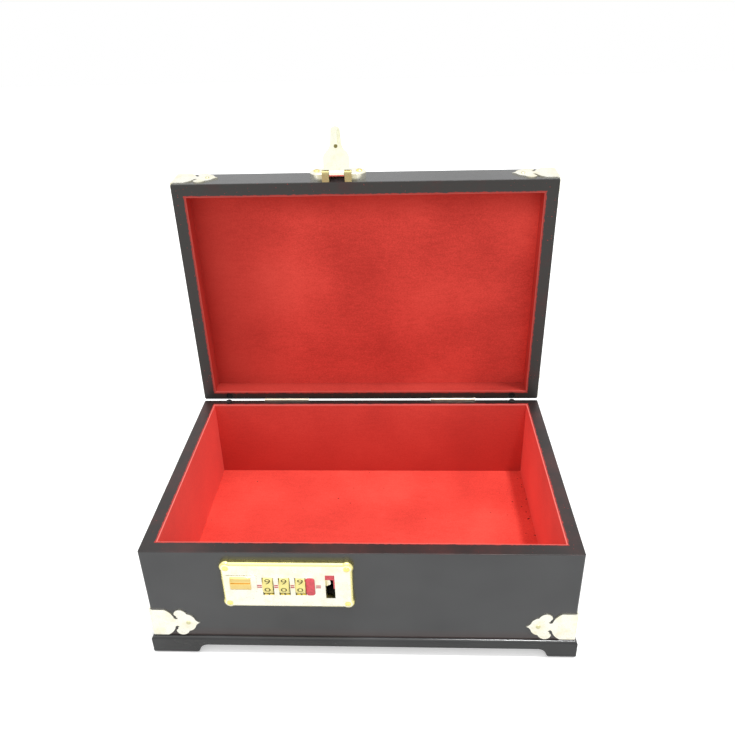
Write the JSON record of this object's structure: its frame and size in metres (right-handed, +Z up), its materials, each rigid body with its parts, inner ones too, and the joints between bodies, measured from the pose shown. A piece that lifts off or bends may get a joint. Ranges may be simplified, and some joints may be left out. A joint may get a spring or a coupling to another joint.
{
  "type": "lockable wooden money box",
  "caption": "Black lacquered wooden money box with a hinged lid, red flocked inside, bracket feet, brass corner brackets, and a dial combination lock with a hasp.",
  "frame": {"origin": "middle of the floor under the open box: the bounding box's bottom centre", "axes": "+Z up, the locked front faces -Y, +X to the right when the front is looked at"},
  "size_m": [0.305, 0.234, 0.3346],
  "materials": {
    "black_lacquer": "black gloss lacquer, brown at the rims",
    "bare_board": "plain fibreboard",
    "red_flock": "flocked, matt",
    "stamped_brass": "polished",
    "cast_brass": "polished casting",
    "dial_brass": "polished, filled numerals",
    "plated_steel": "bright plated",
    "red_plastic": "gloss",
    "black_rubber": "matt"
  },
  "bodies": {
    "case": {"front_panel": "black_lacquer", "right_end": "black_lacquer", "back_panel": "black_lacquer", "left_end": "black_lacquer", "plinth_front": "black_lacquer", "plinth_right": "black_lacquer", "plinth_back": "black_lacquer", "plinth_left": "black_lacquer", "bottom_panel": "bare_board", "floor_lining": "red_flock", "front_lining": "red_flock", "right_lining": "red_flock", "back_lining": "red_flock", "left_lining": "red_flock", "lock_cover": "red_flock", "lock_plate": "cast_brass", "lock_case": "plated_steel", "dial_shaft": "plated_steel", "lock_screws": "cast_brass", "hinge_left_body_leaf": "plated_steel", "hinge_right_body_leaf": "plated_steel", "hinge_pins": "plated_steel", "hinge_body_screws": "plated_steel", "stop_buttons": "black_rubber", "lower_bracket_front_left": "stamped_brass", "lower_bracket_front_right": "stamped_brass", "lower_bracket_back_right": "stamped_brass", "lower_bracket_back_left": "stamped_brass", "lower_bracket_pins": "stamped_brass"},
    "lid": {"lid_front_rail": "black_lacquer", "lid_right_rail": "black_lacquer", "lid_back_rail": "black_lacquer", "lid_left_rail": "black_lacquer", "lid_panel": "black_lacquer", "lid_lining": "red_flock", "lid_edge_linings": "red_flock", "hinge_left_lid_leaf": "plated_steel", "hinge_right_lid_leaf": "plated_steel", "hinge_lid_screws": "plated_steel", "upper_bracket_front_left": "stamped_brass", "upper_bracket_front_right": "stamped_brass", "upper_bracket_back_right": "stamped_brass", "upper_bracket_back_left": "stamped_brass", "upper_bracket_pins": "stamped_brass", "hasp_base": "cast_brass", "hasp_pin": "cast_brass", "hasp_screws": "cast_brass"},
    "hasp": {"hasp_flap": "cast_brass"},
    "dial_wheel_1": {"dial_1": "dial_brass", "cam_sleeve_1": "plated_steel"},
    "dial_wheel_2": {"dial_2": "dial_brass", "cam_sleeve_2": "plated_steel"},
    "dial_wheel_3": {"dial_3": "dial_brass", "cam_sleeve_3": "plated_steel"},
    "release_slide": {"release_knob": "cast_brass", "latch_comb": "plated_steel"},
    "setting_button": {"code_button": "red_plastic"}
  },
  "joints": [
    {"name": "lid_hinge", "type": "hinge", "parent": "case", "child": "lid", "pos_m": [0, 0.08896, 0.09505], "axis": [1, 0, 0], "range_deg": [0, 88]},
    {"name": "hasp_pivot", "type": "hinge", "parent": "lid", "child": "hasp", "pos_m": [-0.0198, 0.08355, 0.29999], "axis": [1, 0, 0], "range_deg": [0, 98]},
    {"name": "dial_1_turn", "type": "hinge", "parent": "case", "child": "dial_wheel_1", "pos_m": [-0.0623, -0.10644, 0.0689], "axis": [1, 0, 0], "continuous": true},
    {"name": "dial_2_turn", "type": "hinge", "parent": "case", "child": "dial_wheel_2", "pos_m": [-0.05115, -0.10644, 0.0689], "axis": [1, 0, 0], "continuous": true},
    {"name": "dial_3_turn", "type": "hinge", "parent": "case", "child": "dial_wheel_3", "pos_m": [-0.04, -0.10644, 0.0689], "axis": [1, 0, 0], "continuous": true},
    {"name": "release_travel", "type": "slide", "parent": "case", "child": "release_slide", "axis": [1, 0, 0], "range_m": [0, 0.0026]},
    {"name": "setting_press", "type": "slide", "parent": "case", "child": "setting_button", "axis": [0, 1, 0], "range_m": [0, 0.001], "stiffness_N_per_m": 400}
  ]
}
